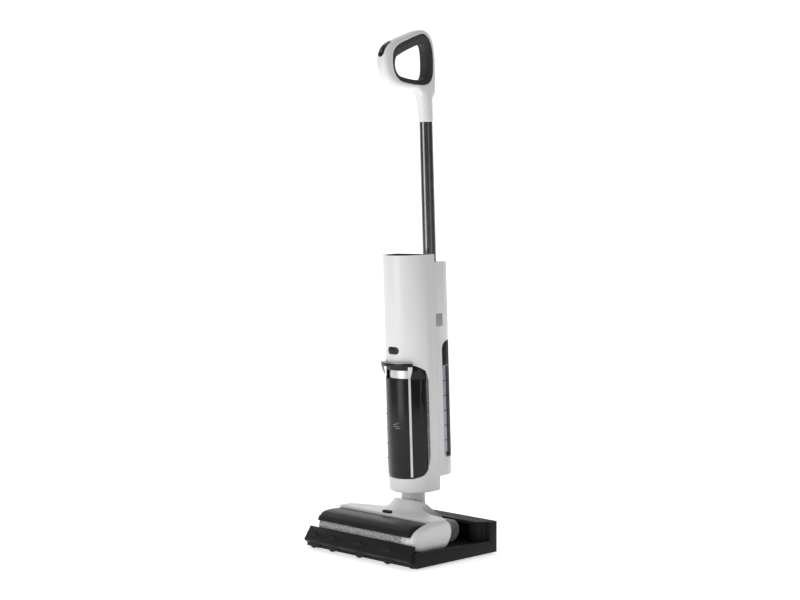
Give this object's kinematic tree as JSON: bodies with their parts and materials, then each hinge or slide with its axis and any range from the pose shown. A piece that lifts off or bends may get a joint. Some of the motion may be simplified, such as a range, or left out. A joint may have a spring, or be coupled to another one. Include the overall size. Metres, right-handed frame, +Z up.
{
  "type": "wet dry floor scrubber",
  "caption": "Upright cordless wet dry floor scrubber with a roller head, water tanks and a loop handle, standing in its charging dock.",
  "frame": {"origin": "on the floor, at the middle of the footprint of the dock that the machine stands in", "axes": "+Z up, -Y towards the roller and the front, +X to the right seen from the front"},
  "size_m": [0.328, 0.2558, 1.0908],
  "materials": {
    "white_gloss_plastic": "smooth white moulded plastic, soft gloss",
    "black_gloss_plastic": "glossy black plastic",
    "charcoal_plastic": "fine-textured charcoal plastic",
    "inner_black_plastic": "plain black moulded plastic",
    "grey_plastic": "grey moulded plastic",
    "light_grey_plastic": "light grey moulded plastic",
    "smoked_clear_plastic": "smoked transparent plastic",
    "clear_plastic": "clear plastic with a faint violet cast",
    "anodised_tube": "black anodised, satin",
    "silver_trim": "satin silver trim",
    "black_rubber": "soft black rubber",
    "grey_rubber": "grey soft tyre",
    "roller_fabric": "short grey speckled microfibre pile",
    "steel": "plain steel",
    "gold_contact": "plated contacts",
    "filter_foam": "pale filter medium",
    "circuit_board": "green solder mask",
    "battery_wrap": "blue wrapped cells"
  },
  "bodies": {
    "dock": {"dock_tray": "charcoal_plastic", "dock_bottom_cover": "inner_black_plastic", "dock_feet": "black_rubber", "dock_screws": "steel", "dock_contact_block": "inner_black_plastic", "dock_circuit_board": "circuit_board", "dock_power_inlet": "inner_black_plastic"},
    "charge_pins": {"dock_contact_pins": "gold_contact"},
    "head": {"head_chassis": "inner_black_plastic", "head_top_shell": "white_gloss_plastic", "side_cap_right": "white_gloss_plastic", "side_cap_left": "inner_black_plastic", "brush_motor": "steel", "roller_end_tab": "white_gloss_plastic", "scraper_bar": "grey_plastic", "spray_bar": "light_grey_plastic", "floor_squeegee": "black_rubber", "head_duct": "inner_black_plastic", "head_charge_pads": "gold_contact", "head_screws": "steel", "wheel_axles": "steel", "hinge_pins": "steel"},
    "roller": {"roller_core": "inner_black_plastic", "roller_sleeve": "roller_fabric", "roller_bearing": "steel"},
    "wheel_right": {"wheel_hub_right": "grey_plastic", "wheel_tyre_right": "grey_rubber"},
    "wheel_left": {"wheel_hub_left": "grey_plastic", "wheel_tyre_left": "grey_rubber"},
    "cover": {"roller_cover": "black_gloss_plastic"},
    "latch": {"cover_latch": "black_gloss_plastic"},
    "neck": {"neck_yoke": "light_grey_plastic", "suction_hose": "black_rubber"},
    "body": {"swivel_collar": "light_grey_plastic", "front_casing": "white_gloss_plastic", "rear_casing": "white_gloss_plastic", "display_lens": "black_gloss_plastic", "suction_motor": "steel", "motor_seal": "black_rubber", "battery_pack": "battery_wrap", "main_board": "circuit_board", "body_screws": "steel", "water_pump": "inner_black_plastic", "stick_tube": "anodised_tube", "tube_socket": "inner_black_plastic", "handle_shell": "white_gloss_plastic", "handle_grip": "black_rubber", "control_panel": "black_gloss_plastic"},
    "release": {"tank_release_button": "black_gloss_plastic"},
    "waste_tank": {"dirty_tank": "smoked_clear_plastic", "dirty_tank_lid": "smoked_clear_plastic", "tank_visor": "black_gloss_plastic", "tank_trims": "silver_trim", "tank_front_panel": "black_gloss_plastic", "tank_filter": "filter_foam", "tank_riser_pipe": "inner_black_plastic"},
    "water_tank": {"clean_tank": "clear_plastic", "clean_tank_cap": "charcoal_plastic"},
    "power_key": {"power_button": "black_gloss_plastic"},
    "mode_key": {"mode_button": "black_gloss_plastic"}
  },
  "joints": [
    {"name": "dock_lift", "type": "slide", "parent": "dock", "child": "head", "axis": [0, 0, 1], "range_m": [0, 0.12]},
    {"name": "charge_pin_press", "type": "slide", "parent": "dock", "child": "charge_pins", "axis": [0, 1, 0], "range_m": [0, 0.002], "stiffness_N_per_m": 300},
    {"name": "roller_spin", "type": "hinge", "parent": "head", "child": "roller", "pos_m": [0, -0.08, 0.0486], "axis": [1, 0, 0], "continuous": true},
    {"name": "wheel_right_spin", "type": "hinge", "parent": "head", "child": "wheel_right", "pos_m": [0.088, 0.057, 0.047], "axis": [1, 0, 0], "continuous": true},
    {"name": "wheel_left_spin", "type": "hinge", "parent": "head", "child": "wheel_left", "pos_m": [-0.088, 0.057, 0.047], "axis": [1, 0, 0], "continuous": true},
    {"name": "cover_lift", "type": "slide", "parent": "head", "child": "cover", "axis": [0, 0, 1], "range_m": [0, 0.06]},
    {"name": "latch_press", "type": "slide", "parent": "head", "child": "latch", "axis": [0, 0, -1], "range_m": [0, 0.001], "stiffness_N_per_m": 400},
    {"name": "neck_tilt", "type": "hinge", "parent": "head", "child": "neck", "pos_m": [0, 0.046, 0.052], "axis": [-1, 0, 0], "range_deg": [0, 45]},
    {"name": "neck_swivel", "type": "hinge", "parent": "neck", "child": "body", "pos_m": [0, 0.046, 0.052], "axis": [0, -0.0393, 0.9992], "range_deg": [-40, 40]},
    {"name": "tank_release_press", "type": "slide", "parent": "body", "child": "release", "axis": [0, 0.9992, 0.0393], "range_m": [0, 0.002], "stiffness_N_per_m": 500},
    {"name": "waste_tank_pull", "type": "slide", "parent": "body", "child": "waste_tank", "axis": [0, -0.9992, -0.0393], "range_m": [0, 0.14]},
    {"name": "water_tank_pull", "type": "slide", "parent": "body", "child": "water_tank", "axis": [0, 0.9992, 0.0393], "range_m": [0, 0.07]},
    {"name": "power_press", "type": "slide", "parent": "body", "child": "power_key", "axis": [0, 0.8048, -0.5936], "range_m": [0, 0.001], "stiffness_N_per_m": 400},
    {"name": "mode_press", "type": "slide", "parent": "body", "child": "mode_key", "axis": [0, 0.8048, -0.5936], "range_m": [0, 0.001], "stiffness_N_per_m": 400}
  ]
}
